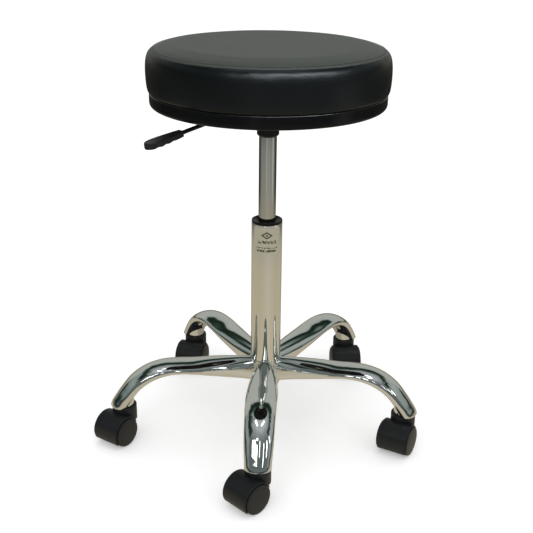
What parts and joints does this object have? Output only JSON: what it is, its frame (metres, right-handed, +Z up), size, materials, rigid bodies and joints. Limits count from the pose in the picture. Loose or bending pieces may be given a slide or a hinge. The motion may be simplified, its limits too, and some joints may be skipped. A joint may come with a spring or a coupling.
{
  "type": "pedicure stool",
  "caption": "Low round padded stool on a chrome gas-lift column with a five-leg swept tube base, hooded twin-wheel casters and a side release lever.",
  "frame": {"origin": "On the floor, at the middle of the footprint box of the whole stool in its rest pose. The column axis is the vertical line at x 15.31 mm, y 35.20 mm.", "axes": "+Z up. -Y is the front, the side of the front leg and of the sticker; +X is to the right seen from the front."},
  "size_m": [0.5328, 0.5195, 0.6424],
  "materials": {
    "chrome": "mirror polished",
    "rod_chrome": "polished",
    "steel": "plain",
    "black_steel": "satin black",
    "black_plastic": "fine satin",
    "caster_plastic": "satin",
    "wheel_plastic": "satin",
    "vinyl": "fine grain, soft sheen",
    "foam": "cut foam",
    "ply": "raw",
    "ring": "gloss",
    "sticker": "satin film",
    "bump_rubber": "matt"
  },
  "bodies": {
    "base": {"hub_sleeve": "chrome", "leg_front": "chrome", "leg_front_left": "chrome", "leg_front_right": "chrome", "leg_rear_left": "chrome", "leg_rear_right": "chrome", "caster_sockets": "chrome", "caster_stems": "steel", "stem_grip_rings": "steel", "column_tube": "chrome", "column_end_plate": "steel", "guide_bushing": "black_plastic", "column_label": "sticker", "thrust_race": "steel"},
    "spindle": {"piston_rod": "steel", "piston_head": "steel", "thrust_balls": "steel", "thrust_cap": "steel", "rod_clip": "steel", "bump_stop": "bump_rubber"},
    "seat": {"gas_cylinder": "rod_chrome", "cylinder_gland": "steel", "sleeve_collar": "black_plastic", "plate_sleeve": "black_steel", "seat_plate": "black_steel", "plate_screws": "steel", "lever_pivot_pin": "steel", "ply_board": "ply", "foam_core": "foam", "cushion_cover": "vinyl", "trim_ring": "ring"},
    "lever": {"lever_rod": "black_steel", "lever_handle": "black_plastic"},
    "valve_pin": {"release_pin": "steel"},
    "caster_front": {"caster_front_hood": "caster_plastic", "caster_front_axle": "steel"},
    "caster_front_wheel_r": {"caster_front_wheel_right": "wheel_plastic"},
    "caster_front_wheel_l": {"caster_front_wheel_left": "wheel_plastic"},
    "caster_front_left": {"caster_front_left_hood": "caster_plastic", "caster_front_left_axle": "steel"},
    "caster_front_left_wheel_r": {"caster_front_left_wheel_right": "wheel_plastic"},
    "caster_front_left_wheel_l": {"caster_front_left_wheel_left": "wheel_plastic"},
    "caster_front_right": {"caster_front_right_hood": "caster_plastic", "caster_front_right_axle": "steel"},
    "caster_front_right_wheel_r": {"caster_front_right_wheel_right": "wheel_plastic"},
    "caster_front_right_wheel_l": {"caster_front_right_wheel_left": "wheel_plastic"},
    "caster_rear_left": {"caster_rear_left_hood": "caster_plastic", "caster_rear_left_axle": "steel"},
    "caster_rear_left_wheel_r": {"caster_rear_left_wheel_right": "wheel_plastic"},
    "caster_rear_left_wheel_l": {"caster_rear_left_wheel_left": "wheel_plastic"},
    "caster_rear_right": {"caster_rear_right_hood": "caster_plastic", "caster_rear_right_axle": "steel"},
    "caster_rear_right_wheel_r": {"caster_rear_right_wheel_right": "wheel_plastic"},
    "caster_rear_right_wheel_l": {"caster_rear_right_wheel_left": "wheel_plastic"}
  },
  "joints": [
    {"name": "seat_swivel", "type": "hinge", "parent": "base", "child": "spindle", "pos_m": [0.01531, 0.0352, 0.079], "axis": [0, 0, 1], "continuous": true},
    {"name": "seat_lift", "type": "slide", "parent": "spindle", "child": "seat", "axis": [0, 0, 1], "range_m": [-0.12, 0]},
    {"name": "lever_pivot", "type": "hinge", "parent": "seat", "child": "lever", "pos_m": [-0.00732, 0.01257, 0.55312], "axis": [-0.7071, 0.7071, 0], "range_deg": [0, 4]},
    {"name": "valve_pin_slide", "type": "slide", "parent": "seat", "child": "valve_pin", "axis": [0, 0, -1], "range_m": [0, 0.0025]},
    {"name": "caster_front_swivel", "type": "hinge", "parent": "base", "child": "caster_front", "pos_m": [0.00624, -0.20763, 0.048], "axis": [0, 0, 1], "continuous": true},
    {"name": "caster_front_wheel_r_spin", "type": "hinge", "parent": "caster_front", "child": "caster_front_wheel_r", "pos_m": [-0.01034, -0.22415, 0.0245], "axis": [0.7059, -0.7083, 0], "continuous": true},
    {"name": "caster_front_wheel_l_spin", "type": "hinge", "parent": "caster_front", "child": "caster_front_wheel_l", "pos_m": [-0.01034, -0.22415, 0.0245], "axis": [0.7059, -0.7083, 0], "continuous": true},
    {"name": "caster_front_left_swivel", "type": "hinge", "parent": "base", "child": "caster_front_left", "pos_m": [-0.21844, -0.03121, 0.048], "axis": [0, 0, 1], "continuous": true},
    {"name": "caster_front_left_wheel_r_spin", "type": "hinge", "parent": "caster_front_left", "child": "caster_front_left_wheel_r", "pos_m": [-0.23149, -0.05063, 0.0245], "axis": [0.83, -0.5577, 0], "continuous": true},
    {"name": "caster_front_left_wheel_l_spin", "type": "hinge", "parent": "caster_front_left", "child": "caster_front_left_wheel_l", "pos_m": [-0.23149, -0.05063, 0.0245], "axis": [0.83, -0.5577, 0], "continuous": true},
    {"name": "caster_front_right_swivel", "type": "hinge", "parent": "base", "child": "caster_front_right", "pos_m": [0.24345, -0.04847, 0.048], "axis": [0, 0, 1], "continuous": true},
    {"name": "caster_front_right_wheel_r_spin", "type": "hinge", "parent": "caster_front_right", "child": "caster_front_right_wheel_r", "pos_m": [0.23193, -0.06883, 0.0245], "axis": [0.8704, -0.4924, 0], "continuous": true},
    {"name": "caster_front_right_wheel_l_spin", "type": "hinge", "parent": "caster_front_right", "child": "caster_front_right_wheel_l", "pos_m": [0.23193, -0.06883, 0.0245], "axis": [0.8704, -0.4924, 0], "continuous": true},
    {"name": "caster_rear_left_swivel", "type": "hinge", "parent": "base", "child": "caster_rear_left", "pos_m": [-0.12008, 0.23699, 0.048], "axis": [0, 0, 1], "continuous": true},
    {"name": "caster_rear_left_wheel_r_spin", "type": "hinge", "parent": "caster_rear_left", "child": "caster_rear_left_wheel_r", "pos_m": [-0.12574, 0.21428, 0.0245], "axis": [0.9703, -0.2419, 0], "continuous": true},
    {"name": "caster_rear_left_wheel_l_spin", "type": "hinge", "parent": "caster_rear_left", "child": "caster_rear_left_wheel_l", "pos_m": [-0.12574, 0.21428, 0.0245], "axis": [0.9703, -0.2419, 0], "continuous": true},
    {"name": "caster_rear_right_swivel", "type": "hinge", "parent": "base", "child": "caster_rear_right", "pos_m": [0.16538, 0.22632, 0.048], "axis": [0, 0, 1], "continuous": true},
    {"name": "caster_rear_right_wheel_r_spin", "type": "hinge", "parent": "caster_rear_right", "child": "caster_rear_right_wheel_r", "pos_m": [0.16742, 0.20301, 0.0245], "axis": [0.9962, 0.0872, 0], "continuous": true},
    {"name": "caster_rear_right_wheel_l_spin", "type": "hinge", "parent": "caster_rear_right", "child": "caster_rear_right_wheel_l", "pos_m": [0.16742, 0.20301, 0.0245], "axis": [0.9962, 0.0872, 0], "continuous": true}
  ],
  "couplings": [
    {"joint": "valve_pin_slide", "follows": "lever_pivot", "m_per_rad": 0.0295}
  ]
}
